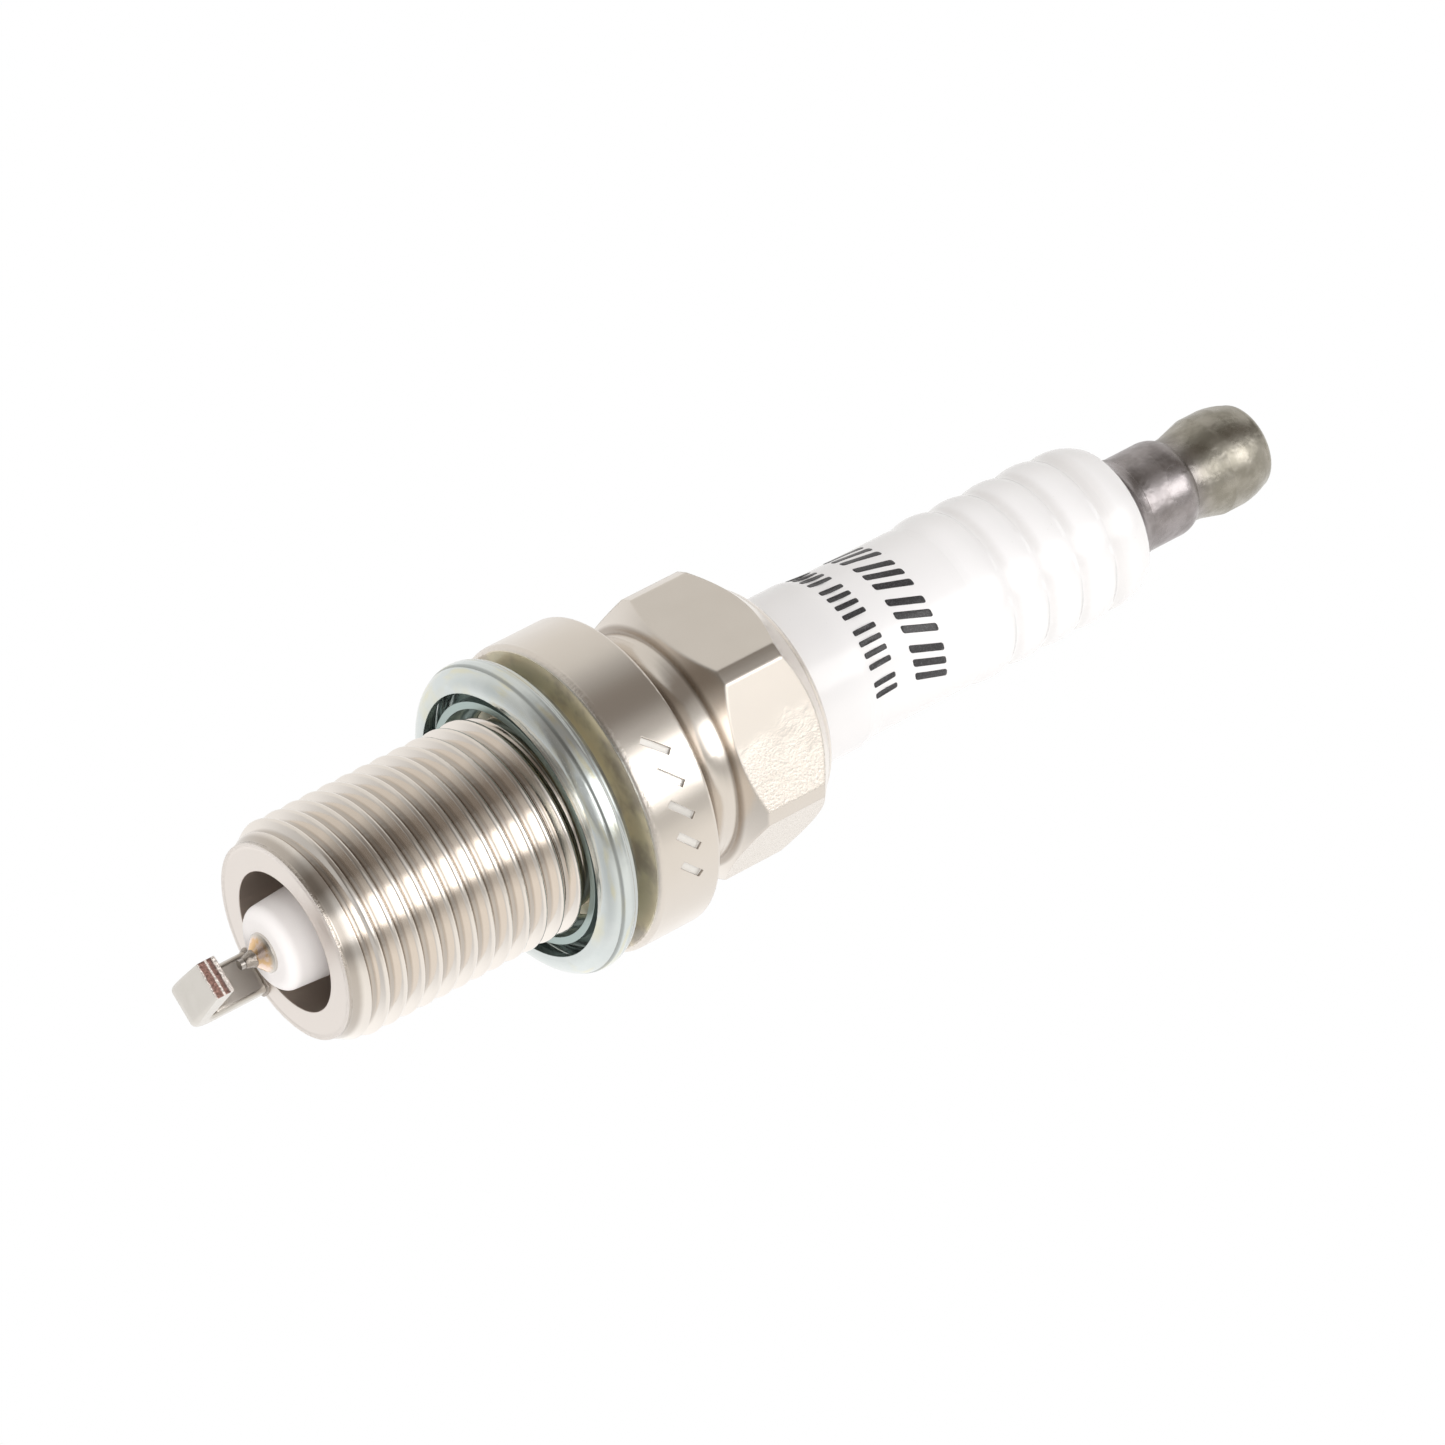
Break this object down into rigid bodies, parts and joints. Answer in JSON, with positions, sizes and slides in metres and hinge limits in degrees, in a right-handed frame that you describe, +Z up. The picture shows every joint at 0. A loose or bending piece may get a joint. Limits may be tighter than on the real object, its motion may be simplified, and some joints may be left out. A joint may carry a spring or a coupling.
{
  "type": "spark plug",
  "caption": "Spark plug: threaded and plated metal shell with hex, captive crush gasket, ribbed ceramic insulator, fine-wire centre electrode, bent ground electrode and screw-on terminal nut.",
  "frame": {"origin": "centre of the shell's seat face, where the gasket and cylinder head meet the flange", "axes": "+X along the plug towards the terminal, -X towards the spark gap, +Z up, square to a pair of hex flats"},
  "size_m": [0.078, 0.0198, 0.0198],
  "materials": {
    "shell_plating": "bright nickel plated steel, rolled thread, blasted hex flats",
    "electrode_alloy": "bare nickel alloy, welded and bent",
    "gasket_plating": "clear blue zinc plated folded steel",
    "glazed_ceramic": "white alumina, glossy glaze outside, matte nose",
    "copper": "solid copper core",
    "iridium": "laser welded precious metal wire",
    "seal_glass": "copper filled conductive glass",
    "resistor_mass": "fused carbon and glass resistor",
    "dark_steel": "dark satin plated steel",
    "packing_steel": "soft steel",
    "talc": "pressed talc powder"
  },
  "bodies": {
    "root": {"metal_shell": "shell_plating", "ground_electrode": "electrode_alloy", "insulator": "glazed_ceramic", "center_electrode": "electrode_alloy", "center_electrode_core": "copper", "iridium_tip": "iridium", "lower_glass_seal": "seal_glass", "resistor": "resistor_mass", "upper_glass_seal": "seal_glass", "terminal_stud": "dark_steel", "packing_washer": "packing_steel", "lower_packing_ring": "packing_steel", "upper_packing_ring": "packing_steel", "talc_packing": "talc"},
    "gasket": {"gasket": "gasket_plating"},
    "terminal_nut": {"terminal_nut": "dark_steel"}
  },
  "joints": [
    {"name": "gasket_slide", "type": "slide", "parent": "root", "child": "gasket", "axis": [1, 0, 0], "range_m": [0, 0.00098]},
    {"name": "nut_removal", "type": "slide", "parent": "root", "child": "terminal_nut", "axis": [1, 0, 0], "range_m": [0, 0.009]}
  ]
}
